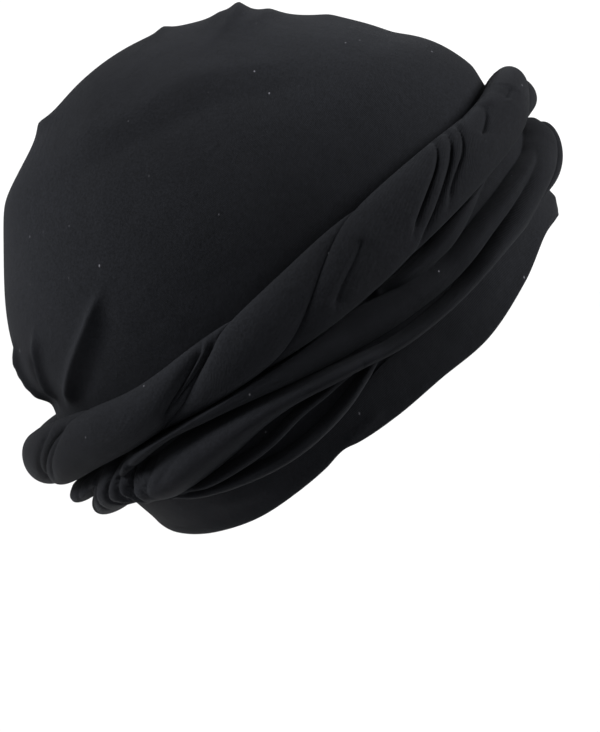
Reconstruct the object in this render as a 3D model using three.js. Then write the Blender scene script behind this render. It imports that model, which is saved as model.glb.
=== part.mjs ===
import * as THREE from 'three';

// A turban headwrap of black jersey, in the shape it has on a head: a crown that is gathered at
// the back, a brow band below it, and two rolls of wound cloth that run all the way round.
// Millimetres, +Z up. The wearer faces -Y, and +X is the wearer's left. The origin is the middle
// of the rim's opening, and the rim slopes down from the forehead to the nape.
//
// The rim's plane and the heights over it are described before the slope is applied. A place on
// the headwrap is given as (around, up, out): degrees around from the forehead over the wearer's
// right side, millimetres up the form from the rim plane, and millimetres out from the form.

// Sizes of the form
const RIM_SLOPE = 36;
const CROWN_AXIS_BACK = 8;
const WAIST_HEIGHT = 60;
const CROWN_RISE = 92.5;
const CROWN_ARC = 160;
const APEX = WAIST_HEIGHT + CROWN_ARC;
const FORM = {
  front: { radius: 120, draw: 225, flat: 0.085 },
  back: { radius: 101, draw: 170, flat: 0.055 },
  side: { radius: 86, draw: 205, flat: 0.02 },
};

// Cloth and clearances
const CLOTH_WALL = 2;
const INNER_FOLD_SHARE = 0.8;
const SEAM_HEIGHT = 24;
const SEAM_GAP = 0.5;
const ROLL_GAP = 0.6;

// Mesh density
const STATIONS = 72;
const UPPER_ROLL_SIDES = 12;
const LOWER_ROLL_SIDES = 16;
const CROWN_HEIGHTS = [36, 48, 55, 62, 70, 80, 92, 105, 119, 133, 146, 157, 167, 178, 190, 204];
const BAND_LEVELS = 3;

// Height of the rim, around from the forehead to the back
const RIM = [
  { around: 0, height: -6 },
  { around: 18, height: -7 },
  { around: 32, height: -14 },
  { around: 47, height: -22 },
  { around: 64, height: -25.5 },
  { around: 80, height: -27.5 },
  { around: 92, height: -27 },
  { around: 97, height: -26 },
  { around: 105, height: -28 },
  { around: 130, height: -28 },
  { around: 148, height: -25 },
  { around: 166, height: -17 },
  { around: 180, height: -12 },
];

// Upper roll: the height of its middle, its half width up the form, and its thickness
const UPPER_ROLL = [
  { around: 0, middle: 48, half: 11, thick: 16 },
  { around: 10, middle: 44.5, half: 10.8, thick: 15.5 },
  { around: 20, middle: 41, half: 11, thick: 15 },
  { around: 40, middle: 37, half: 13, thick: 15 },
  { around: 65, middle: 33, half: 14.5, thick: 15 },
  { around: 90, middle: 30, half: 13, thick: 15 },
  { around: 110, middle: 30, half: 11.5, thick: 15 },
  { around: 130, middle: 31, half: 10, thick: 15 },
  { around: 150, middle: 35, half: 11.5, thick: 16 },
  { around: 165, middle: 36, half: 12, thick: 18.5 },
  { around: 180, middle: 36, half: 12, thick: 19.5 },
];

// The upper roll is twisted out of two plies. Each angle is where a crease between them crosses
// the roll's upper edge, and the crease has reached the lower edge by the next angle.
const TWIST_CREASES = [-5, 28, 62, 100, 142, 182, 220, 258, 294, 326];
const PLY_RADIUS = 0.67;
const PLY_OFFSET = 1 - PLY_RADIUS;
const PRESSED_SIDE = [-0.6, 0.2];

// Lower roll: the heights of its lower and upper edges, and its thickness
const LOWER_ROLL = [
  { around: 0, low: 8, high: 36.5, thick: 12 },
  { around: 10, low: 6.5, high: 32.5, thick: 12.5 },
  { around: 20, low: 4, high: 29, thick: 12.5 },
  { around: 40, low: -1, high: 23, thick: 12.5 },
  { around: 60, low: -7, high: 18.3, thick: 11 },
  { around: 75, low: -7, high: 17, thick: 11 },
  { around: 90, low: -13, high: 16.3, thick: 11 },
  { around: 105, low: -16.5, high: 17.3, thick: 11.5 },
  { around: 118, low: -16, high: 19, thick: 12.5 },
  { around: 130, low: -11.5, high: 20.3, thick: 14 },
  { around: 140, low: -5, high: 21.3, thick: 15.5 },
  { around: 150, low: 2, high: 22.8, thick: 16.5 },
  { around: 165, low: 6, high: 22.8, thick: 17.5 },
  { around: 180, low: 8, high: 23, thick: 17.5 },
];
const LOWER_ROLL_SQUARENESS = 0.78;

// Creases wound along the lower roll: each path is (around, across), across the roll from 0 at
// its lower edge to 1 at its upper edge
const LOWER_CREASES = [
  { depth: 4.5, width: 4, path: [[31, 0.88], [44, 0.6], [54, 0.59], [64, 0.9]] },
  { depth: 5, width: 4, path: [[16, 0.95], [30, 0.4], [44, 0.26], [60, 0.3], [80, 0.42]] },
  { depth: 5, width: 4, path: [[80, 0.42], [95, 0.68], [118, 0.77], [131, 0.95]] },
  { depth: 5, width: 4, path: [[75, 0.04], [84, 0.24], [97, 0.39], [110, 0.45], [126, 0.36], [142, 0.2]] },
  { depth: 5, width: 4, path: [[143, 0.95], [152, 0.6], [152, 0.3], [143, 0.05]] },
];

// Folds raised on the crown: each path is (around, up)
const CROWN_FOLDS = [
  { rise: 4.5, reach: 4.5, path: [[124, 80], [132, 72], [140, 66], [150, 58], [160, 50]] },
  { rise: 3, reach: 4, path: [[150, 84], [153, 76], [158, 64], [163, 52]] },
  { rise: 3, reach: 4, path: [[171, 84], [171, 70], [172, 54]] },
  { rise: 1.6, reach: 13, path: [[20, 96], [39, 116], [58, 137], [74, 145], [109, 151], [141, 166]] },
  { rise: 4.5, reach: 8, path: [[-32, 155], [0, 164], [32, 155]] },
  { rise: 3, reach: 6, path: [[-48, 176], [0, 190], [48, 176]] },
  { rise: 1.5, reach: 9, path: [[-22, 124], [0, 132], [22, 124]] },
  { rise: 2.5, reach: 7, path: [[142, 166], [180, 180], [218, 166]] },
];
const FOLD_END_FADE = 12;
const FOLD_FOOT = [46, 56];

// Degrees around, brought to 0 at the forehead and 180 at the back, alike on both sides
function aroundFromFront(around) {
  return Math.abs(THREE.MathUtils.euclideanModulo(around + 180, 360) - 180);
}

// One column of a table, on a smooth curve through its rows
function readTable(table, column, around) {
  const angle = aroundFromFront(around);
  const next = Math.max(1, table.findIndex((row) => row.around >= angle));
  const slopeAt = (i) => {
    const [before, after] = [table[i - 1], table[i + 1]];
    return before && after ? (after[column] - before[column]) / (after.around - before.around) : 0;
  };
  const [from, to] = [table[next - 1], table[next]];
  const gap = to.around - from.around;
  const t = (angle - from.around) / gap;
  const start = from[column] * (1 + 2 * t) + slopeAt(next - 1) * gap * t;
  const end = to[column] * (3 - 2 * t) + slopeAt(next) * gap * (t - 1);
  return start * (1 - t) ** 2 + end * t ** 2;
}

// The form's radius, draw and flatness at an angle around it
function formAt(radians) {
  const alongFront = Math.cos(radians);
  const alongSide = Math.sin(radians);
  const end = alongFront > 0 ? FORM.front : FORM.back;
  const { side } = FORM;
  const mix = (key) => end[key] * alongFront ** 2 + side[key] * alongSide ** 2;
  return {
    radius: 1 / Math.hypot(alongFront / end.radius, alongSide / side.radius),
    draw: mix('draw'),
    flat: mix('flat'),
  };
}

// A point of the bare form, before the rim's slope
function formPoint(around, up) {
  const radians = THREE.MathUtils.degToRad(around);
  const { radius, draw, flat } = formAt(radians);
  const climb = THREE.MathUtils.clamp((up - WAIST_HEIGHT) / CROWN_ARC, 0, 1) * Math.PI / 2;
  const pull = 1 - flat * Math.sin(2 * climb) ** 2;
  const below = Math.max(WAIST_HEIGHT - up, 0) / draw;
  const reach = radius * Math.cos(climb) * pull * Math.sqrt(1 - below ** 2);
  const height = Math.min(up, WAIST_HEIGHT) + CROWN_RISE * Math.sin(climb) * pull;
  return new THREE.Vector3(
    -reach * Math.sin(radians),
    CROWN_AXIS_BACK - reach * Math.cos(radians),
    height,
  );
}

// The direction that points straight out of the form
function formNormal(around, up) {
  if (up >= APEX) return new THREE.Vector3(0, 0, 1);
  const step = 0.5;
  const high = Math.min(up + step, APEX - step);
  const upward = formPoint(around, high).sub(formPoint(around, high - 2 * step));
  const sideways = formPoint(around + step, high - step).sub(formPoint(around - step, high - step));
  return sideways.cross(upward).negate().normalize();
}

// A point at a place on the headwrap
function place(around, up, out) {
  return formPoint(around, up).addScaledVector(formNormal(around, up), out);
}

// Distance from a point to a path over the form, with how far along the path it is
function nearestOnPath(point, path) {
  let best = { distance: Infinity, toEnd: 0 };
  const lengths = path.slice(1).map((corner, i) => corner.distanceTo(path[i]));
  const whole = lengths.reduce((sum, length) => sum + length, 0);
  let walked = 0;
  lengths.forEach((length, i) => {
    const line = new THREE.Line3(path[i], path[i + 1]);
    const share = line.closestPointToPointParameter(point, true);
    const distance = line.at(share, new THREE.Vector3()).distanceTo(point);
    const along = walked + share * length;
    if (distance < best.distance) best = { distance, toEnd: Math.min(along, whole - along) };
    walked += length;
  });
  return best;
}

const crownPaths = CROWN_FOLDS.flatMap(({ rise, reach, path }) => {
  const sides = path[0][0] < 0 || path[0][0] + path.at(-1)[0] === 360 ? [1] : [1, -1];
  return sides.map((side) => ({
    rise,
    reach,
    corners: path.map(([around, up]) => formPoint(side * around, up)),
  }));
});

// How far the crown's folds stand out at a place
function crownRelief(around, up) {
  const point = formPoint(around, up);
  const foot = THREE.MathUtils.smoothstep(up, ...FOLD_FOOT);
  const heights = crownPaths.map(({ rise, reach, corners }) => {
    const { distance, toEnd } = nearestOnPath(point, corners);
    const fade = THREE.MathUtils.smoothstep(toEnd, 0, FOLD_END_FADE);
    return rise * fade * Math.exp(-((distance / reach) ** 2));
  });
  return foot * heights.reduce((sum, height) => sum + height, 0);
}

// How many creases of the twist have crossed the roll's upper edge, counted smoothly
function twistCount(around) {
  const angle = THREE.MathUtils.euclideanModulo(around - TWIST_CREASES[0], 360) + TWIST_CREASES[0];
  const ends = [...TWIST_CREASES, TWIST_CREASES[0] + 360];
  const next = ends.findIndex((end) => end > angle);
  return next - 1 + (angle - ends[next - 1]) / (ends[next] - ends[next - 1]);
}

// The outline of two plies side by side, as a share of the roll's radius
function plyOutline(turn) {
  const outline = (angle) => PLY_OFFSET * Math.cos(angle)
    + Math.sqrt(PLY_RADIUS ** 2 - (PLY_OFFSET * Math.sin(angle)) ** 2);
  return Math.max(outline(turn), outline(turn + Math.PI));
}

// The upper roll's section: two plies that turn about each other
function upperRollSection(around) {
  const middle = readTable(UPPER_ROLL, 'middle', around);
  const half = readTable(UPPER_ROLL, 'half', around);
  const thick = readTable(UPPER_ROLL, 'thick', around);
  const crease = Math.PI * twistCount(around);
  return Array.from({ length: UPPER_ROLL_SIDES }, (_, side) => {
    const turn = 2 * Math.PI * side / UPPER_ROLL_SIDES;
    const free = THREE.MathUtils.smoothstep(Math.sin(turn), ...PRESSED_SIDE);
    const share = THREE.MathUtils.lerp(1, plyOutline(turn - crease - Math.PI / 2), free);
    return {
      up: middle + half * share * Math.cos(turn),
      out: ROLL_GAP + thick / 2 * (1 + share * Math.sin(turn)),
    };
  });
}

// Where a crease of the lower roll lies across it, or null where there is none
function creaseAcross(path, around) {
  const angle = aroundFromFront(around);
  const next = path.findIndex(([at]) => at >= angle);
  if (next < 1) return null;
  const [[fromAngle, from], [toAngle, to]] = [path[next - 1], path[next]];
  return THREE.MathUtils.mapLinear(angle, fromAngle, toAngle, from, to);
}

// The lower roll's section: a flat bundle with creases along its outer side
function lowerRollSection(around) {
  const low = readTable(LOWER_ROLL, 'low', around);
  const high = readTable(LOWER_ROLL, 'high', around);
  const thick = readTable(LOWER_ROLL, 'thick', around);
  const round = (value) => Math.sign(value) * Math.abs(value) ** LOWER_ROLL_SQUARENESS;
  return Array.from({ length: LOWER_ROLL_SIDES }, (_, side) => {
    const turn = 2 * Math.PI * side / LOWER_ROLL_SIDES;
    const across = (1 + round(Math.cos(turn))) / 2;
    const outward = Math.max(Math.sin(turn), 0);
    const creases = LOWER_CREASES.map(({ depth, width, path }) => {
      const at = creaseAcross(path, around);
      if (at === null) return 0;
      return depth * Math.exp(-Math.abs(across - at) * (high - low) / width);
    });
    return {
      up: THREE.MathUtils.lerp(low, high, across),
      out: ROLL_GAP + thick / 2 * (1 + round(Math.sin(turn))) - outward * Math.max(...creases),
    };
  });
}

// The brow band's section, from the seam down its outside and up its inside
function browBandSection(around) {
  const rim = readTable(RIM, 'height', around);
  const top = SEAM_HEIGHT - SEAM_GAP / 2;
  const level = (i) => THREE.MathUtils.lerp(top, rim, i / BAND_LEVELS);
  const outer = Array.from({ length: BAND_LEVELS + 1 }, (_, i) => ({ up: level(i), out: 0 }));
  const inner = outer.map(({ up }) => ({ up, out: -CLOTH_WALL })).reverse();
  return [...outer, ...inner];
}

// The crown's section, from the apex down its outside to the seam and up its inside
function crownSection(around) {
  const heights = [SEAM_HEIGHT + SEAM_GAP / 2, ...CROWN_HEIGHTS];
  const outer = heights.map((up) => ({ up, out: crownRelief(around, up) }));
  const inner = outer.map(({ up, out }) => ({ up, out: out * INNER_FOLD_SHARE - CLOTH_WALL }));
  return [...outer.reverse(), ...inner];
}

// Points of a section carried around all stations, station by station
function sweep(section) {
  return Array.from({ length: STATIONS }, (_, station) => {
    const around = 360 * station / STATIONS;
    return section(around).map(({ up, out }) => place(around, up, out));
  });
}

function solidMesh(name, points, triangles, material) {
  const coordinates = points.flatMap((point) => point.toArray());
  const geometry = new THREE.BufferGeometry();
  geometry.setAttribute('position', new THREE.Float32BufferAttribute(coordinates, 3));
  geometry.setIndex(triangles.flat());
  geometry.computeVertexNormals();
  const mesh = new THREE.Mesh(geometry, material);
  mesh.name = name;
  return mesh;
}

// Two triangles for each cell between neighbouring stations, along the shorter diagonal
function skin(points, rows, closed) {
  const cells = closed ? rows : rows - 1;
  const triangles = [];
  for (let station = 0; station < STATIONS; station += 1) {
    for (let row = 0; row < cells; row += 1) {
      const here = station * rows;
      const there = ((station + 1) % STATIONS) * rows;
      const after = (row + 1) % rows;
      const [a, b, c, d] = [here + row, there + row, there + after, here + after];
      const shortAC = points[a].distanceTo(points[c]) < points[b].distanceTo(points[d]);
      triangles.push(...(shortAC ? [[a, b, c], [a, c, d]] : [[a, b, d], [b, c, d]]));
    }
  }
  return triangles;
}

// A ring that closes on itself, from a closed section
function ringMesh(name, section, material) {
  const rings = sweep(section);
  const points = rings.flat();
  return solidMesh(name, points, skin(points, rings[0].length, true), material);
}

// A bowl, from an open section that starts outside near the apex and ends inside near it
function bowlMesh(name, section, material) {
  const rings = sweep(section);
  const rows = rings[0].length;
  const points = [...rings.flat(), place(0, APEX, 0), place(0, APEX, -CLOTH_WALL)];
  const [outerApex, innerApex] = [points.length - 2, points.length - 1];
  const triangles = skin(points, rows, false);
  for (let station = 0; station < STATIONS; station += 1) {
    const here = station * rows;
    const there = ((station + 1) % STATIONS) * rows;
    triangles.push([here, outerApex, there], [here + rows - 1, there + rows - 1, innerApex]);
  }
  return solidMesh(name, points, triangles, material);
}

function jersey(color) {
  return new THREE.MeshStandardMaterial({ color, roughness: 0.92, metalness: 0 });
}

const headwrap = new THREE.Group();
headwrap.rotation.x = -THREE.MathUtils.degToRad(RIM_SLOPE);
headwrap.add(
  bowlMesh('crown', crownSection, jersey(0x1d1d20)),
  ringMesh('brow_band', browBandSection, jersey(0x17171a)),
  ringMesh('upper_roll', upperRollSection, jersey(0x1a1a1d)),
  ringMesh('lower_roll', lowerRollSection, jersey(0x18181b)),
);

export default headwrap;
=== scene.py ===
import math

import bpy
import numpy as np
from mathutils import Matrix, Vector


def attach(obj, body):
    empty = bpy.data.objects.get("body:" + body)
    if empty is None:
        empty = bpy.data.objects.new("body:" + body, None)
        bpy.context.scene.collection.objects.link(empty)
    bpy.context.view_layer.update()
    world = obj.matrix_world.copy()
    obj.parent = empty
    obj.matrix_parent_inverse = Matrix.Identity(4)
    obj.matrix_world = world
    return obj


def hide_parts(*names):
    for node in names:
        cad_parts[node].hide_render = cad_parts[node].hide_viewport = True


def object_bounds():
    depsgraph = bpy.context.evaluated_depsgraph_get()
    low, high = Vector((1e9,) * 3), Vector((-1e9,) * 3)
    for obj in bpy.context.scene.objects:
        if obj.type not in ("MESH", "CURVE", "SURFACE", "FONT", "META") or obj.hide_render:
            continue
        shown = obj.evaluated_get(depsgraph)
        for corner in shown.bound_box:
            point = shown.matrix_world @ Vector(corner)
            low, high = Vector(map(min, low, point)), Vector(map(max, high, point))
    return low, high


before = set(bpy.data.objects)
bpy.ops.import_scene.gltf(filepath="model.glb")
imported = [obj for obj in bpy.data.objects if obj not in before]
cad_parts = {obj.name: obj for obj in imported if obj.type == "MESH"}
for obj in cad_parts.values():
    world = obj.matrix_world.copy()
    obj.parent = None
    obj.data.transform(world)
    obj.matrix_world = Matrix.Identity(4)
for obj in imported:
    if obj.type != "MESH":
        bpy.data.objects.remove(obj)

# The looks of a turban headwrap of black jersey. Metres and degrees, in the row's frame: the wearer
# faces -Y and +X is the wearer's left. A place on the headwrap is given as (around, up, out):
# degrees around from the forehead over the wearer's right side, metres up the form from the rim
# plane, and metres out from the form.

CAD_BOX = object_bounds()
MM = 0.001

# ---------------------------------------------------------------- the form, as the CAD part has it
RIM_SLOPE = math.radians(36)
CROWN_AXIS_BACK = 8 * MM
WAIST_HEIGHT = 60 * MM
CROWN_RISE = 92.5 * MM
CROWN_ARC = 160 * MM
APEX = WAIST_HEIGHT + CROWN_ARC
FORM = {
    "front": {"radius": 120 * MM, "draw": 225 * MM, "flat": 0.085},
    "back": {"radius": 101 * MM, "draw": 170 * MM, "flat": 0.055},
    "side": {"radius": 86 * MM, "draw": 205 * MM, "flat": 0.02},
}
SEAM_HEIGHT = 24 * MM
CLOTH_WALL = 2 * MM
ROLL_GAP = 0.6 * MM
ARC_PER_DEGREE = 1.7 * MM


def form_point(around, up):
    """Points of the bare form at arrays of places."""
    angle = np.radians(around)
    along_front, along_side = np.cos(angle), np.sin(angle)
    front, back, side = FORM["front"], FORM["back"], FORM["side"]
    end = {key: np.where(along_front > 0, front[key], back[key]) for key in side}
    mix = {key: end[key] * along_front ** 2 + side[key] * along_side ** 2 for key in side}
    radius = 1 / np.hypot(along_front / end["radius"], along_side / side["radius"])
    climb = np.clip((up - WAIST_HEIGHT) / CROWN_ARC, 0, 1) * math.pi / 2
    pull = 1 - mix["flat"] * np.sin(2 * climb) ** 2
    below = np.maximum(WAIST_HEIGHT - up, 0) / mix["draw"]
    reach = radius * np.cos(climb) * pull * np.sqrt(1 - below ** 2)
    height = np.minimum(up, WAIST_HEIGHT) + CROWN_RISE * np.sin(climb) * pull
    x, y = -reach * along_side, CROWN_AXIS_BACK - reach * along_front
    slope_cos, slope_sin = math.cos(RIM_SLOPE), math.sin(RIM_SLOPE)
    tilted_y, tilted_z = y * slope_cos + height * slope_sin, height * slope_cos - y * slope_sin
    return np.stack([x, tilted_y, tilted_z], -1)


def form_normal(around, up):
    """Directions straight out of the form."""
    turn, rise = 0.25, 0.4 * MM
    high = np.minimum(up + rise, APEX - rise)
    upward = form_point(around, high) - form_point(around, high - 2 * rise)
    sideways = form_point(around + turn, high - rise) - form_point(around - turn, high - rise)
    normal = np.cross(upward, sideways)
    return normal / np.linalg.norm(normal, axis=-1, keepdims=True)


def place(around, up, out):
    around, up, out = np.broadcast_arrays(around, up, out)
    return form_point(around, up) + form_normal(around, up) * out[..., None]


# ------------------------------------------------------------------------------------ small helpers
def from_front(around):
    """Degrees from the forehead, alike on both sides."""
    return np.abs((np.asarray(around) + 180) % 360 - 180)


def smooth_step(value, low, high):
    share = np.clip((value - low) / (high - low), 0, 1)
    return share * share * (3 - 2 * share)


def smooth_curve(x, knots, values):
    """A smooth curve through the knots, flat beyond the first and last."""
    knots, values = np.asarray(knots, float), np.asarray(values, float)
    slopes = np.gradient(values, knots)
    slopes[0] = slopes[-1] = 0
    x = np.clip(x, knots[0], knots[-1])
    i = np.clip(np.searchsorted(knots, x, side="right") - 1, 0, len(knots) - 2)
    gap = knots[i + 1] - knots[i]
    t = (x - knots[i]) / gap
    start = values[i] * (1 + 2 * t) * (1 - t) ** 2 + slopes[i] * gap * t * (1 - t) ** 2
    end = values[i + 1] * t * t * (3 - 2 * t) + slopes[i + 1] * gap * t * t * (t - 1)
    return start + end


def column(table, key, around):
    """A table's column, read smoothly at degrees from the forehead. Lengths in the tables are mm."""
    return smooth_curve(around, [row["around"] for row in table], [row[key] for row in table])


def wander(points, wavelength, seed):
    """Smooth undulation from -1 to 1 at points, the same in every run."""
    rng = np.random.default_rng(seed)
    total = np.zeros(points.shape[:-1])
    waves = 7
    for _ in range(waves):
        direction = rng.normal(size=3)
        direction *= 2 * math.pi / wavelength * rng.uniform(0.7, 1.4) / np.linalg.norm(direction)
        total += np.sin(points @ direction + rng.uniform(0, 2 * math.pi))
    return total / math.sqrt(waves) / 1.5


def near_path(x, y, corners):
    """Distance of flat points from a path, signed by side, and how far along the path, 0 to 1."""
    corners = np.asarray(corners, float)
    lengths = np.linalg.norm(np.diff(corners, axis=0), axis=1)
    walked = np.concatenate([[0], np.cumsum(lengths)])
    best = np.full(np.shape(x), np.inf)
    side, along = np.zeros_like(best), np.zeros_like(best)
    for i, length in enumerate(lengths):
        step = (corners[i + 1] - corners[i]) / length
        dx, dy = x - corners[i][0], y - corners[i][1]
        run = np.clip(dx * step[0] + dy * step[1], 0, length)
        away = np.hypot(dx - run * step[0], dy - run * step[1])
        closer = away < best
        best = np.where(closer, away, best)
        side = np.where(closer, np.sign(dx * step[1] - dy * step[0]), side)
        along = np.where(closer, (walked[i] + run) / walked[-1], along)
    return best * np.where(side == 0, 1, side), along


def rounded_path(corners, cuts=3):
    """A path with its corners cut, so that a fold along it has no kinks."""
    corners = np.asarray(corners, float)
    for _ in range(cuts):
        inner = np.stack([0.75 * corners[:-1] + 0.25 * corners[1:],
                          0.25 * corners[:-1] + 0.75 * corners[1:]], 1).reshape(-1, 2)
        corners = np.vstack([corners[:1], inner[1:-1], corners[-1:]])
    return corners


def mesh_piece(name, points, quads, triangles=(), cloth=None):
    """A smooth mesh from points, with the place on the cloth that its knit pattern is read at."""
    mesh = bpy.data.meshes.new(name)
    faces = [tuple(f) for f in np.asarray(quads).tolist()] + [tuple(f) for f in triangles]
    mesh.from_pydata(points.tolist(), [], faces)
    mesh.shade_smooth()
    if cloth is not None:
        attribute = mesh.attributes.new("cloth_place", "FLOAT_VECTOR", "POINT")
        attribute.data.foreach_set("vector", cloth.astype(np.float32).ravel())
    mesh.validate()
    mesh.update()
    piece = bpy.data.objects.new(name, mesh)
    bpy.context.scene.collection.objects.link(piece)
    return piece


def grid_quads(stations, rows, closed):
    """Quads of a grid that closes around the headwrap, and across the section if closed."""
    across = np.arange(rows if closed else rows - 1)
    station, row = np.meshgrid(np.arange(stations), across, indexing="ij")
    here, there = station * rows, ((station + 1) % stations) * rows
    after = (row + 1) % rows
    return np.stack([here + row, there + row, there + after, here + after], -1).reshape(-1, 4)


# ------------------------------------------------------------------------------------------- rolls
UPPER_ROLL = [
    {"around": 0, "middle": 45.8, "half": 10.4, "thick": 16.5},
    {"around": 10, "middle": 44.5, "half": 10.8, "thick": 15.5},
    {"around": 20, "middle": 41, "half": 11, "thick": 15},
    {"around": 40, "middle": 37, "half": 13, "thick": 15},
    {"around": 65, "middle": 33, "half": 14.5, "thick": 15},
    {"around": 90, "middle": 30, "half": 13, "thick": 15},
    {"around": 110, "middle": 30, "half": 11.5, "thick": 15},
    {"around": 130, "middle": 31, "half": 10, "thick": 15},
    {"around": 150, "middle": 35, "half": 11.5, "thick": 16},
    {"around": 165, "middle": 36.5, "half": 12, "thick": 20},
    {"around": 180, "middle": 37, "half": 11.8, "thick": 22.5},
]

# Creases of the twisted upper roll: degrees around where each starts at the upper edge and ends at
# the lower one, and in mm its depth and how far the cloth bends down to it
UPPER_CREASES = [
    {"top": -10, "low": 14, "depth": 5.0, "lobe": 13},
    {"top": 27, "low": 56, "depth": 1.6, "lobe": 12},
    {"top": 60, "low": 101, "depth": 4.2, "lobe": 13},
    {"top": 99, "low": 131, "depth": 5.5, "lobe": 14},
    {"top": 146, "low": 184, "depth": 3.8, "lobe": 13},
    {"top": 186, "low": 218, "depth": 4.5, "lobe": 13},
    {"top": 222, "low": 256, "depth": 5.0, "lobe": 14},
    {"top": 260, "low": 298, "depth": 4.2, "lobe": 13},
    {"top": 298, "low": 330, "depth": 4.5, "lobe": 13},
    {"top": 328, "low": 350, "depth": 3.5, "lobe": 12},
]
# The way straight across a slanting crease, as a share of the way along the section
CREASE_SLANT = 0.86
# How much of a crease's depth nicks the upper roll's edges
EDGE_SHARE = 0.3

# Sharp pleats pressed into the upper roll: (around, up) paths
UPPER_PLEATS = [
    {"depth": 3.2, "width": 0.8, "path": [(35, 55), (40, 44), (48, 34), (54, 26)]},
    {"depth": 2.8, "width": 0.7, "path": [(32, 55), (36, 44), (41, 36), (47, 28), (54, 21)]},
    {"depth": 2.6, "width": 0.7, "path": [(29, 55), (34, 41), (40, 34), (44, 27)]},
    {"depth": 3.4, "width": 1.8, "path": [(22, 51), (25, 46), (29, 41)]},
    {"depth": 2.2, "width": 2.6, "path": [(14, 49), (18, 47)]},
    {"depth": 2.0, "width": 2.4, "path": [(63, 38), (68, 32), (73, 28), (78, 22)]},
    {"depth": 4.5, "width": 1.5, "path": [(107, 42), (114, 36), (121, 30), (127, 24)]},
    {"depth": 3.2, "width": 1.2, "path": [(104, 41), (109, 36), (115, 32), (120, 29), (124, 26)]},
    {"depth": 1.6, "width": 1.2, "path": [(150, 47), (160, 38), (166, 30)]},
    {"depth": 1.6, "width": 1.0, "path": [(156, 48), (166, 40), (172, 30)]},
]

LOWER_ROLL = [
    {"around": 0, "low": 8, "high": 35.1, "thick": 12},
    {"around": 10, "low": 6.5, "high": 32.5, "thick": 12.5},
    {"around": 20, "low": 4, "high": 29, "thick": 12.5},
    {"around": 40, "low": -1, "high": 23, "thick": 12.5},
    {"around": 60, "low": -7, "high": 18.3, "thick": 11},
    {"around": 75, "low": -7, "high": 17, "thick": 11},
    {"around": 90, "low": -13, "high": 16.3, "thick": 11},
    {"around": 105, "low": -16.5, "high": 17.3, "thick": 11.5},
    {"around": 118, "low": -16, "high": 19, "thick": 12.5},
    {"around": 130, "low": -11.5, "high": 20.3, "thick": 14},
    {"around": 140, "low": -5, "high": 21.3, "thick": 15.5},
    {"around": 150, "low": 2, "high": 22.8, "thick": 16.5},
    {"around": 165, "low": 4, "high": 22.8, "thick": 16.5},
    {"around": 180, "low": 4, "high": 23, "thick": 16.5},
]

# Folds of the lower roll. Each row of a fold is where it lies: degrees around, then in mm its
# middle up the form, its half width and the height of its crest over the form
LOWER_FOLDS = {
    "under_twist": [(26, 28, 2.2, 2.5), (33, 25.5, 3.4, 6), (39, 21.5, 4.3, 9),
                    (46, 17.5, 4.6, 9.5), (52, 15.5, 4, 9), (60, 15, 3, 7), (66, 16, 2, 4)],
    "main": [(-1, 31, 4, 4), (12, 23, 3.4, 8), (24, 17.6, 4.2, 11), (36, 12.3, 5.0, 11.5),
             (48, 7.8, 5.6, 10.5), (60, 7.8, 6.6, 10), (74, 9.4, 7.1, 10.5), (86, 11.6, 6.9, 11),
             (97, 13.5, 6, 12), (108, 16, 5, 12.5), (118, 18, 4, 13), (130, 20, 3, 13.5),
             (142, 19, 3, 14), (152, 17, 3, 13)],
    "long": [(-1, 23.6, 11.8, 14), (10, 17.5, 11, 12.5), (18, 14, 8.6, 12.5), (27, 8, 6.6, 12.5),
             (36, 3.5, 4.6, 12.5), (48, -1.4, 3.3, 12), (60, -3.4, 3, 12), (72, -2.9, 3, 12),
             (80, -0.5, 3.2, 12.5), (90, 2, 3.6, 12.5), (100, 4.5, 4.2, 12.5), (110, 6, 6, 13),
             (120, 6, 8, 14), (130, 6, 9.5, 15), (140, 6, 9, 15.5), (148, 8, 8, 15)],
    "thin": [(84, -2, 1.6, 6), (92, -2.5, 2, 8), (100, -3, 2.2, 9), (110, -5.5, 2.2, 10),
             (120, -6, 2.4, 10.5), (130, -4.5, 2.4, 11), (138, -2, 2, 9)],
    "lowest": [(74, -3.5, 1.6, 4), (80, -6, 2.4, 7), (88, -10, 2.8, 8), (100, -13.5, 2.8, 8.5),
               (110, -14, 2.8, 9), (120, -12, 3, 9.5), (128, -9, 3.2, 10), (136, -5, 3, 10),
               (143, -1.5, 2, 8)],
    "knot": [(143, 12, 6, 12), (148, 12, 9.5, 15.5), (156, 13.5, 9.5, 16.5), (166, 11, 7.5, 14),
             (180, 9.8, 6.6, 13.5)],
    "nape": [(158, 19.5, 3, 13), (166, 19.3, 5, 16.5), (174, 19.3, 5.4, 17), (180, 19.3, 5.4, 17)],
}
FOLD_ROUNDNESS = 2.0
VALLEY_FLOOR = 0.22

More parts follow.
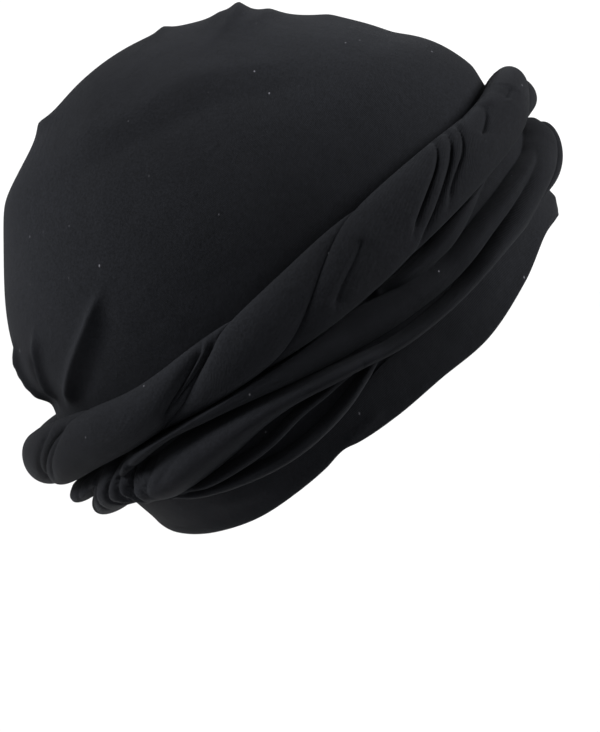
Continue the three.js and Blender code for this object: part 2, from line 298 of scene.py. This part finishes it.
# Sharp creases pressed into the lower roll: (around, up) paths
LOWER_PLEATS = [
    {"depth": 3.6, "width": 0.9, "path": [(-4, 32), (2, 30), (4, 22), (11, 13), (20, 7), (30, 2)]},
    {"depth": 1.0, "width": 1.6, "path": [(96, 16), (104, 16), (112, 17), (124, 19)]},
    {"depth": 1.2, "width": 1.4, "path": [(112, 13), (120, 13.5), (130, 12), (139, 7)]},
    {"depth": 3.2, "width": 0.8, "path": [(147, 22), (152, 17), (154, 12), (151, 5)]},
    {"depth": 2.6, "width": 0.8, "path": [(144, 22), (148, 17), (150, 11), (148, 5)]},
    {"depth": 2.6, "width": 0.9, "path": [(141, 20), (145, 14), (147, 9), (146, 4)]},
    {"depth": 1.4, "width": 1.0, "path": [(136, 15), (141, 10), (144, 5)]},
    {"depth": 1.8, "width": 1.2, "path": [(154, 23), (159, 16), (160, 8)]},
    {"depth": 1.5, "width": 1.4, "path": [(163, 24), (169, 15), (169, 7)]},
    {"depth": 1.4, "width": 1.3, "path": [(172, 24), (177, 15), (177, 8)]},
]

# How far a pleat fades in and out along its path, and the depth that it keeps at its ends
PLEAT_FADE = 0.15
PLEAT_END = 0.25
# How much of pleats and undulation shows on the upper roll
UPPER_RELIEF = 0.9
# How far the lower roll's edges stand out, in mm
LOWER_EDGE_OUT = 2.2
# The least depth that the lower roll's pleats leave, as a share of its thickness
LOWER_LEAST = 0.2

ROLL_STATIONS = 640
OUTER_ROWS = 104
INNER_ROWS = 24
FINE_ROWS = 420


def pressed(around, up, pleats):
    """Depth of the pleats at places, in mm. Pleats lie alike on both sides of the headwrap."""
    depth = np.zeros(np.broadcast(around, up).shape)
    x, y = from_front(around) * ARC_PER_DEGREE / MM, up / MM
    for pleat in pleats:
        corners = [(a * ARC_PER_DEGREE / MM, b) for a, b in pleat["path"]]
        away, along = near_path(x, y, rounded_path(corners))
        fade = smooth_step(along, 0, PLEAT_FADE) * smooth_step(1 - along, 0, PLEAT_FADE)
        kept = PLEAT_END + (1 - PLEAT_END) * fade
        depth = np.maximum(depth, pleat["depth"] * kept * np.exp(-np.abs(away) / pleat["width"]))
    return depth


def even_rows(up, out, rows):
    """Each station's section, given finely, with its points spread evenly along it."""
    steps = np.hypot(np.diff(up, axis=1), np.diff(out, axis=1))
    walked = np.concatenate([np.zeros((len(up), 1)), np.cumsum(steps, axis=1)], 1)
    even_up, even_out = np.empty((len(up), rows)), np.empty((len(up), rows))
    for i, line in enumerate(walked):
        marks = np.linspace(0, line[-1], rows)
        even_up[i] = np.interp(marks, line, up[i])
        even_out[i] = np.interp(marks, line, out[i])
    return even_up, even_out


def roll_piece(name, around, outer, inner, twist):
    """A roll from the (up, out) points of its outer and inner sides, station by station, in metres."""
    up = np.concatenate([outer[0], inner[0][:, 1:-1]], 1)
    out = np.concatenate([outer[1], inner[1][:, 1:-1]], 1)
    points = place(around[:, None], up, out)
    steps = np.linalg.norm(np.diff(points, axis=1), axis=-1)
    across = np.concatenate([np.zeros((len(up), 1)), np.cumsum(steps, axis=1)], 1)
    along = np.broadcast_to(around[:, None] * ARC_PER_DEGREE, across.shape)
    cloth = np.stack([along - across * twist, across + along * twist, out], -1)
    quads = grid_quads(len(around), up.shape[1], True)
    return mesh_piece(name, points.reshape(-1, 3), quads, cloth=cloth.reshape(-1, 3))


def build_upper_roll():
    """Cloth wound on itself in two plies, so that its creases run slantwise over it."""
    around = np.arange(ROLL_STATIONS) * 360 / ROLL_STATIONS
    a = from_front(around)[:, None]
    middle, half, thick = (column(UPPER_ROLL, key, a) for key in ("middle", "half", "thick"))
    turn = np.linspace(0, math.pi, FINE_ROWS)[None, :]
    reach = np.ones((ROLL_STATIONS, FINE_ROWS))
    radius = np.sqrt(half * thick / 2)
    for crease in UPPER_CREASES:
        for lap in (-360, 0, 360):
            run = crease["low"] - crease["top"]
            share = (around[:, None] + lap - crease["top"]) / run
            away = (turn / math.pi - share) * math.pi * radius * CREASE_SLANT
            near = np.clip(np.abs(away) / crease["lobe"], 0, 1)
            valley = 1 - np.sqrt(1 - (1 - near) ** 2)
            fade = smooth_step(share, -0.9, -0.1) * smooth_step(share, 1.9, 1.1)
            reach -= crease["depth"] * fade * valley / radius
    edge_reach = 1 - (1 - reach) * EDGE_SHARE
    up = middle + half * edge_reach * np.cos(turn)
    out = thick / 2 * (1 + reach * np.sin(turn))
    ease = np.sin(turn) ** 0.5
    dent = pressed(around[:, None], up * MM, UPPER_PLEATS) * ease
    wave = wander(place(around[:, None], up * MM, out * MM), 34 * MM, 5) * 0.5 * ease
    out = out - (dent - wave) * np.sin(turn) * UPPER_RELIEF
    up = up - (dent - wave) * np.cos(turn) * UPPER_RELIEF
    outer = even_rows(up * MM, out * MM + ROLL_GAP, OUTER_ROWS)
    back_turn = np.linspace(math.pi, 2 * math.pi, INNER_ROWS)[None, :]
    pressed_flat = np.abs(np.sin(back_turn)) ** 0.6
    share = (1 - np.cos(back_turn - math.pi)) / 2
    inner_up = outer[0][:, -1:] * (1 - share) + outer[0][:, :1] * share
    edge_out = outer[1][:, -1:] * (1 - share) + outer[1][:, :1] * share
    inner_out = ROLL_GAP + (edge_out - ROLL_GAP) * (1 - pressed_flat)
    return roll_piece("upper_roll_cloth", around, outer, (inner_up, inner_out), 0.55)


def build_lower_roll():
    """A flatter bundle of long folds, drawn together in a knot of tight creases near the back."""
    around = np.arange(ROLL_STATIONS) * 360 / ROLL_STATIONS
    a = from_front(around)[:, None]
    low, high, thick = (column(LOWER_ROLL, key, a) for key in ("low", "high", "thick"))
    turn = np.linspace(0, math.pi, FINE_ROWS)[None, :]
    square = np.sign(np.cos(turn)) * np.abs(np.cos(turn)) ** 0.8
    up = (low + high) / 2 + (high - low) / 2 * square
    out = thick * VALLEY_FLOOR * np.sin(turn) ** 0.5
    for rows in LOWER_FOLDS.values():
        knots = [row[0] for row in rows]
        fold_middle, fold_half, crest = (
            smooth_curve(a, knots, [row[i] for row in rows]) for i in (1, 2, 3))
        shown = smooth_step(a, knots[0] - 3, knots[0]) * (1 - smooth_step(a, knots[-1], knots[-1] + 3))
        shown = np.where((knots[0] <= 0) & (a < 20), 1, shown)
        shown = np.where((knots[-1] >= 180) & (a > 160), 1, shown)
        near = np.clip(np.abs(up - fold_middle) / fold_half, 0, 1)
        dome = crest * shown * (1 - near ** FOLD_ROUNDNESS) ** (1 / FOLD_ROUNDNESS)
        out = np.maximum(out, np.where(near < 1, dome, 0))
    dent = pressed(around[:, None], up * MM, LOWER_PLEATS)
    wave = wander(place(around[:, None], up * MM, out * MM), 30 * MM, 9) * 0.45
    ease = np.sin(turn) ** 0.5
    out = np.maximum(out - dent * ease + wave * ease, LOWER_LEAST * thick * ease)
    out = np.maximum(out, LOWER_EDGE_OUT * (1 - ease))
    outer = even_rows(up * MM, out * MM + ROLL_GAP, OUTER_ROWS)
    share = (1 - np.cos(np.linspace(0, math.pi, INNER_ROWS)))[None, :] / 2
    inner_up = outer[0][:, -1:] * (1 - share) + outer[0][:, :1] * share
    inner_out = ROLL_GAP + LOWER_EDGE_OUT * MM * (1 - np.sin(np.pi * share) ** 0.5)
    inner_out = np.broadcast_to(inner_out, inner_up.shape)
    return roll_piece("lower_roll_cloth", around, outer, (inner_up, inner_out), 0.04)


# ------------------------------------------------------------------------------ crown and brow band
# Folds of the crown, as (around, up) paths: how far they stand out or sink in, and their reach, mm
CROWN_FOLDS = [
    {"rise": 3.4, "reach": 2.4, "path": [(120, 84), (126, 79), (132, 72), (140, 65), (150, 56), (161, 45)]},
    {"rise": -0.8, "reach": 6, "path": [(121, 78), (127, 69), (135, 60), (145, 51), (154, 44)]},
    {"rise": 2.8, "reach": 2.4, "path": [(150, 90), (153, 78), (158, 66), (164, 48)]},
    {"rise": -2.4, "reach": 3.0, "path": [(156, 84), (160, 72), (165, 60), (168, 47)]},
    {"rise": 3.2, "reach": 2.6, "path": [(167, 90), (170, 74), (173, 48)]},
    {"rise": -1.6, "reach": 2.4, "path": [(174, 82), (176, 68), (177, 48)]},
    {"rise": 1.6, "reach": 2.2, "path": [(180, 80), (180, 66), (180, 47)]},
    {"rise": 1.8, "reach": 12,
     "path": [(20, 96), (39, 116), (58, 137), (74, 145), (90, 142), (109, 151), (141, 166)]},
    {"rise": -1.2, "reach": 9,
     "path": [(30, 84), (48, 104), (64, 122), (86, 128), (112, 134), (140, 146)]},
    {"rise": 5.4, "reach": 5.5, "path": [(-62, 150), (-30, 161), (0, 169), (30, 161), (62, 150)]},
    {"rise": 1.6, "reach": 5, "path": [(-60, 163), (0, 178), (60, 163)]},
    {"rise": 1.8, "reach": 3.6, "path": [(-80, 184), (0, 199), (80, 184)]},
    {"rise": 1.5, "reach": 9, "path": [(-22, 124), (0, 132), (22, 124)]},
    {"rise": -3.2, "reach": 17, "path": [(-46, 96), (0, 104), (46, 96)]},
    {"rise": 1.0, "reach": 8, "path": [(-36, 63), (0, 64), (36, 63)]},
    {"rise": 5.6, "reach": 24,
     "path": [(100, 140), (140, 146), (180, 148), (220, 146), (260, 140)]},
    {"rise": 2.8, "reach": 5.5, "path": [(120, 178), (180, 186), (240, 178)]},
    {"rise": -3.6, "reach": 7, "path": [(140, 54), (180, 54), (220, 54)]},
    {"rise": 2.6, "reach": 7, "path": [(-60, 148), (0, 157), (60, 148)]},
]
CROWN_STATIONS = 520
CROWN_ROWS = 150
CROWN_INNER_ROWS = 30
CROWN_TIP = 1.2 * MM

# The rim: degrees around, and mm up the form
RIM = [(0, -6.5), (9, -6), (18, -7), (32, -16.5), (47, -24.5), (64, -26), (80, -27.5), (92, -27),
       (97, -26), (105, -28), (118, -29.5), (130, -29.5), (148, -25.5), (166, -19), (180, -14)]
BAND_FOLDS = [
    {"rise": 1.0, "reach": 2.0, "path": [(78, -22), (84, -22.5), (92, -23.5), (97, -24.5)]},
    {"rise": 1.4, "reach": 3.5, "path": [(-16, 0), (0, 1.5), (16, 0)]},
    {"rise": -3.4, "reach": 4.5, "path": [(-24, -9), (0, -9), (24, -9)]},
    {"rise": 0.8, "reach": 4.0, "path": [(30, -8), (44, -13), (58, -14)]},
    {"rise": 0.7, "reach": 5.0, "path": [(112, -22), (126, -21), (142, -15)]},
]
# The shares of a fold's path over which it fades in and out: at its ends, and at the last end of a
# mirrored one, which runs down into the rolls or the rim
FOLD_FADE = 0.35
FOLD_FOOT_FADE = 0.12
# The shape of a fold from side to side: nearly a bell close in, with a longer slope further out
FOLD_BELL = 0.35

BAND_STATIONS = 600
BAND_OUTER_ROWS = 44
BAND_INNER_ROWS = 20


def fold_relief(around, up, folds):
    """How far folds stand out at places, in metres. A path that stays on one side is mirrored."""
    points = form_point(around, up)
    relief = np.zeros(points.shape[:-1])
    for fold in folds:
        path = rounded_path(fold["path"])
        mirrored = path[0][0] >= 0 and path[0][0] + path[-1][0] != 360
        for side in ((1, -1) if mirrored else (1,)):
            corners = form_point(side * path[:, 0], path[:, 1] * MM)
            best = np.full(relief.shape, np.inf)
            along = np.zeros(relief.shape)
            for i in range(len(corners) - 1):
                step = corners[i + 1] - corners[i]
                run = np.clip((points - corners[i]) @ step / (step @ step), 0, 1)
                away = np.linalg.norm(points - corners[i] - run[..., None] * step, axis=-1)
                along = np.where(away < best, (i + run) / (len(corners) - 1), along)
                best = np.minimum(best, away)
            foot_fade = FOLD_FOOT_FADE if mirrored else FOLD_FADE
            fade = smooth_step(along, 0, FOLD_FADE) * smooth_step(1 - along, 0, foot_fade)
            far = best / (fold["reach"] * MM)
            bell = np.exp(-far ** 2 / (FOLD_BELL + (1 - FOLD_BELL) * far))
            relief += fold["rise"] * MM * fade * bell
    return relief


def build_crown():
    """The cap: an outer and an inner side that meet at the seam, each closed over the top."""
    around = np.arange(CROWN_STATIONS) * 360 / CROWN_STATIONS
    bottom = SEAM_HEIGHT + 0.25 * MM
    up = np.linspace(APEX - CROWN_TIP, bottom, CROWN_ROWS)
    inner_up = np.linspace(bottom, APEX - CROWN_TIP, CROWN_INNER_ROWS)
    ups = np.concatenate([up, inner_up])
    grid_around, grid_up = np.meshgrid(around, ups, indexing="ij")
    foot = smooth_step(grid_up, 42 * MM, 54 * MM)
    relief = fold_relief(grid_around, grid_up, CROWN_FOLDS) * foot
    relief += wander(form_point(grid_around, grid_up), 70 * MM, 3) * 0.5 * MM * foot
    inside = np.arange(len(ups)) >= CROWN_ROWS
    out = np.where(inside, relief * 0.8 - CLOTH_WALL, relief)
    points = place(grid_around, grid_up, out)
    rows = len(ups)
    tips = [points[:, 0].mean(0), points[:, -1].mean(0)]
    flat_points = np.vstack([points.reshape(-1, 3), tips])
    cloth = np.concatenate([np.stack([grid_around * ARC_PER_DEGREE, grid_up, out], -1).reshape(-1, 3),
                            np.zeros((2, 3))])
    outer_tip, inner_tip = len(flat_points) - 2, len(flat_points) - 1
    fans = []
    for i in range(CROWN_STATIONS):
        here, there = i * rows, (i + 1) % CROWN_STATIONS * rows
        fans.append((here, outer_tip, there))
        fans.append((here + rows - 1, there + rows - 1, inner_tip))
    quads = grid_quads(CROWN_STATIONS, rows, False)
    return mesh_piece("crown_cloth", flat_points, quads, fans, cloth)


def build_brow_band():
    """The band below the rolls, folded round at the rim."""
    around = np.arange(BAND_STATIONS) * 360 / BAND_STATIONS
    rim = smooth_curve(from_front(around), [row[0] for row in RIM], [row[1] for row in RIM]) * MM
    top = SEAM_HEIGHT - 0.25 * MM
    edge = 1.4 * MM
    share = np.linspace(0, 1, BAND_OUTER_ROWS)
    outer_up = top + (rim[:, None] + edge - top) * share
    round_turn = np.linspace(0, math.pi, 11)[1:-1]
    round_up = rim[:, None] + edge - edge * np.sin(round_turn)
    inner_up = np.linspace(0, 1, BAND_INNER_ROWS) * (top - rim[:, None] - edge) + rim[:, None] + edge
    up = np.concatenate([outer_up, round_up, inner_up], 1)
    grid_around = np.broadcast_to(around[:, None], up.shape)
    relief = fold_relief(grid_around, up, BAND_FOLDS)
    relief += wander(form_point(grid_around, up), 60 * MM, 7) * 0.3 * MM
    relief *= 1 - smooth_step(up, 2 * MM, 10 * MM) * (from_front(grid_around) > 25)
    hem = 0.5 * MM * np.exp(-((up - rim[:, None] - 2 * MM) / (3 * MM)) ** 2)
    fade = 1 - smooth_step(up, 6 * MM, 12 * MM)
    outer_out = (relief + hem)[:, :BAND_OUTER_ROWS] * fade[:, :BAND_OUTER_ROWS]
    inner_out = relief[:, -BAND_INNER_ROWS:] * fade[:, -BAND_INNER_ROWS:] - CLOTH_WALL
    middle = (outer_out[:, -1:] + inner_out[:, :1]) / 2
    half = (outer_out[:, -1:] - inner_out[:, :1]) / 2
    out = np.concatenate([outer_out, middle + half * np.cos(round_turn), inner_out], 1)
    points = place(grid_around, up, out)
    cloth = np.stack([grid_around * ARC_PER_DEGREE, up, out], -1)
    quads = grid_quads(BAND_STATIONS, up.shape[1], True)
    return mesh_piece("brow_band_cloth", points.reshape(-1, 3), quads, cloth=cloth.reshape(-1, 3))


# ---------------------------------------------------------------------------------------- materials
def add_node(tree, kind, inputs, **settings):
    """A shader node with its settings. Each input is a value, or an output to link to it."""
    node = tree.nodes.new("ShaderNode" + kind)
    for name, value in settings.items():
        setattr(node, name, value)
    for name, value in inputs.items():
        if isinstance(value, bpy.types.NodeSocket):
            tree.links.new(value, node.inputs[name])
        else:
            node.inputs[name].default_value = value
    return node


def noise(tree, where, scale, detail, roughness):
    inputs = {"Vector": where, "Scale": scale, "Detail": detail, "Roughness": roughness}
    return add_node(tree, "TexNoise", inputs).outputs["Fac"]


def ramp(tree, source, low, high):
    """Two (position, colour) stops, with a straight change from one to the other."""
    node = add_node(tree, "ValToRGB", {"Fac": source})
    for element, (position, colour) in zip(node.color_ramp.elements, (low, high)):
        element.position = position
        element.color = (*colour, 1)
    return node.outputs["Color"]


def mixed(tree, kind, factor, first, second):
    inputs = {"Factor": factor, "A": first, "B": second}
    return add_node(tree, "Mix", inputs, data_type="RGBA", blend_type=kind).outputs["Result"]


def grey(level):
    return (level,) * 3


def dyed(level):
    """The dye's cool black, at a level of brightness."""
    return (level * 0.91, level * 0.98, level * 1.22)


def jersey_colour(tree, room, shade):
    """Soft shade changes, fibres, and a few pale specks of lint."""
    broad = ramp(tree, noise(tree, room, 9.0, 3.0, 0.55),
                 (0.3, dyed(shade * 0.8)), (0.7, dyed(shade * 1.25)))
    fibre = ramp(tree, noise(tree, room, 1100.0, 3.0, 0.7), (0.3, grey(0.6)), (0.7, grey(1.45)))
    cloth = mixed(tree, "MULTIPLY", 1.0, broad, fibre)
    stretched = add_node(tree, "Mapping", {"Vector": room, "Scale": (1.0, 1.35, 0.75)})
    specks = add_node(tree, "TexVoronoi", {"Vector": stretched.outputs["Vector"], "Scale": 125.0,
                                           "Randomness": 1.0})
    small = ramp(tree, specks.outputs["Distance"], (0.02, grey(1.0)), (0.07, grey(0.0)))
    few = ramp(tree, specks.outputs["Color"], (0.58, grey(0.0)), (0.7, grey(1.0)))
    lint = mixed(tree, "MULTIPLY", 1.0, small, few)
    return mixed(tree, "MIX", lint, cloth, (0.034, 0.034, 0.038, 1))


def knit_height(tree, cloth_place, wale):
    """Wales along the cloth and weaker courses across it. The bands lie 0.63 of wale apart."""
    wales = add_node(tree, "TexWave",
                     {"Vector": cloth_place, "Scale": 0.5 / wale, "Distortion": 1.2, "Detail": 2.0,
                      "Detail Scale": 1.5}, wave_type="BANDS", bands_direction="X")
    courses = add_node(tree, "TexWave",
                       {"Vector": cloth_place, "Scale": 0.5 / (wale * 0.8), "Distortion": 1.0},
                       wave_type="BANDS", bands_direction="Y")
    heights = {0: courses.outputs["Fac"], 1: 0.4, 2: wales.outputs["Fac"]}
    return add_node(tree, "Math", heights, operation="MULTIPLY_ADD").outputs[0]


def jersey_normal(tree, room, cloth_place, wale):
    """The knit, the fuzz of its fibres and a faint ripple, one on the other."""
    heights = [(knit_height(tree, cloth_place, wale), 0.00022),
               (noise(tree, room, 420.0, 5.0, 0.65), 0.0005),
               (noise(tree, room, 70.0, 2.0, 0.5), 0.002)]
    normal = None
    for height, distance in heights:
        inputs = {"Height": height, "Distance": distance, "Strength": 0.35}
        if normal:
            inputs["Normal"] = normal
        normal = add_node(tree, "Bump", inputs).outputs["Normal"]
    return normal


def jersey(name, shade, wale):
    """Black knitted jersey."""
    material = bpy.data.materials.new(name)
    material.use_nodes = True
    tree = material.node_tree
    shader = tree.nodes["Principled BSDF"]
    room = add_node(tree, "TexCoord", {}).outputs["Object"]
    cloth_place = add_node(tree, "Attribute", {}, attribute_name="cloth_place").outputs["Vector"]
    tree.links.new(jersey_colour(tree, room, shade), shader.inputs["Base Color"])
    tree.links.new(jersey_normal(tree, room, cloth_place, wale), shader.inputs["Normal"])
    shader.inputs["Roughness"].default_value = 0.9
    shader.inputs["Specular IOR Level"].default_value = 0.02
    shader.inputs["Sheen Weight"].default_value = 0.005
    shader.inputs["Sheen Roughness"].default_value = 0.45
    shader.inputs["Sheen Tint"].default_value = (0.84, 0.9, 1.0, 1)
    return material


def dress(piece, node, material):
    piece.data.materials.append(material)
    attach(piece, "root")
    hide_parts(node)


crown_jersey = jersey("crown_jersey", shade=0.0020, wale=0.9 * MM)
band_jersey = jersey("band_jersey", shade=0.0018, wale=1.0 * MM)
roll_jersey = jersey("roll_jersey", shade=0.0018, wale=0.9 * MM)

dress(build_crown(), "crown", crown_jersey)
dress(build_brow_band(), "brow_band", band_jersey)
upper_roll, lower_roll = build_upper_roll(), build_lower_roll()
dress(upper_roll, "upper_roll", roll_jersey)
dress(lower_roll, "lower_roll", roll_jersey)


# ------------------------------------------------------------------------- floor, lights and camera
MIDDLE = (CAD_BOX[0] + CAD_BOX[1]) / 2
FLOOR_HEIGHT = CAD_BOX[0].z - 0.45
CAMERA_DISTANCE = 1.3
CAMERA_LENS = 156.6
AIM_ASIDE = -16.3 * MM
AIM_UP = -4.5 * MM


def direction(azimuth, elevation):
    """From the headwrap towards a view's camera. Azimuth 0 is in front, and 270 at its right side."""
    a, e = math.radians(azimuth), math.radians(elevation)
    return Vector((math.sin(a) * math.cos(e), -math.cos(a) * math.cos(e), math.sin(e)))


def plain_material(name, colour, roughness):
    material = bpy.data.materials.new(name)
    material.use_nodes = True
    shader = material.node_tree.nodes["Principled BSDF"]
    shader.inputs["Base Color"].default_value = (*colour, 1)
    shader.inputs["Roughness"].default_value = roughness
    return material


def add_floor():
    bpy.ops.mesh.primitive_circle_add(
        vertices=96, radius=12, fill_type="NGON", location=(0, 0, FLOOR_HEIGHT))
    floor = bpy.context.object
    floor.name = "floor"
    floor.data.materials.append(plain_material("pale_floor", (0.93, 0.93, 0.93), 0.9))


def add_light(name, azimuth, elevation, distance, size, watts, spread):
    """A soft square light that faces the headwrap."""
    back = direction(azimuth, elevation)
    light = bpy.data.lights.new(name, "AREA")
    light.shape = "SQUARE"
    light.size = size
    light.energy = watts
    light.spread = math.radians(spread)
    lamp = bpy.data.objects.new(name, light)
    lamp.location = MIDDLE + back * distance
    lamp.rotation_euler = back.to_track_quat("Z", "Y").to_euler()
    bpy.context.scene.collection.objects.link(lamp)


def add_world_light(strength):
    world = bpy.data.worlds.new("studio")
    world.use_nodes = True
    background = world.node_tree.nodes["Background"]
    background.inputs["Color"].default_value = (1, 1, 1, 1)
    background.inputs["Strength"].default_value = strength
    bpy.context.scene.world = world
    bpy.context.scene.view_settings.view_transform = "Standard"


def add_camera(azimuth, elevation):
    """The camera, aimed a little aside of the origin."""
    back = direction(azimuth, elevation)
    aside = Vector((0, 0, 1)).cross(back).normalized()
    camera = bpy.data.objects.new("camera", bpy.data.cameras.new("camera"))
    camera.data.lens = CAMERA_LENS
    camera.data.sensor_width = 36
    camera.location = aside * AIM_ASIDE + back.cross(aside) * AIM_UP + back * CAMERA_DISTANCE
    camera.rotation_mode = "QUATERNION"
    camera.rotation_quaternion = back.to_track_quat("Z", "Y")
    bpy.context.scene.collection.objects.link(camera)
    bpy.context.scene.camera = camera


add_floor()
add_light("key", azimuth=192, elevation=28, distance=1.6, size=0.8, watts=30, spread=70)
add_light("front_fill", azimuth=352, elevation=34, distance=1.8, size=0.8, watts=28, spread=60)
add_world_light(1.1)
add_camera(azimuth=270, elevation=4)
